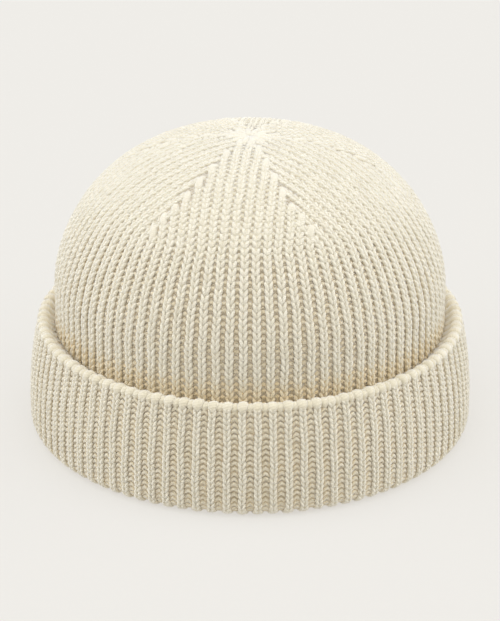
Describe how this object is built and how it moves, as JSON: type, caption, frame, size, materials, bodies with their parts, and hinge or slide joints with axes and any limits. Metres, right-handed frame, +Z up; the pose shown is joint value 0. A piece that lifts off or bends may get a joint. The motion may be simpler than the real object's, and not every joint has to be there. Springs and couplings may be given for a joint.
{
  "type": "knit hat",
  "caption": "Ribbed knit beanie, hollow, with a domed crown closed in wedges and a turned-up cuff with a rounded edge; stands on the cuff's fold.",
  "frame": {"origin": "centre of the ring on which the cuff's fold stands, at the lowest level of the hat", "axes": "+Z up along the hat's middle, -Y towards the front, +X to the right seen from the front"},
  "size_m": [0.2098, 0.2098, 0.1385],
  "materials": {
    "rib_knit_wool": "matte undyed cream wool, knitted in a 1 by 1 rib"
  },
  "bodies": {
    "root": {"crown": "rib_knit_wool", "cuff": "rib_knit_wool"}
  },
  "joints": []
}
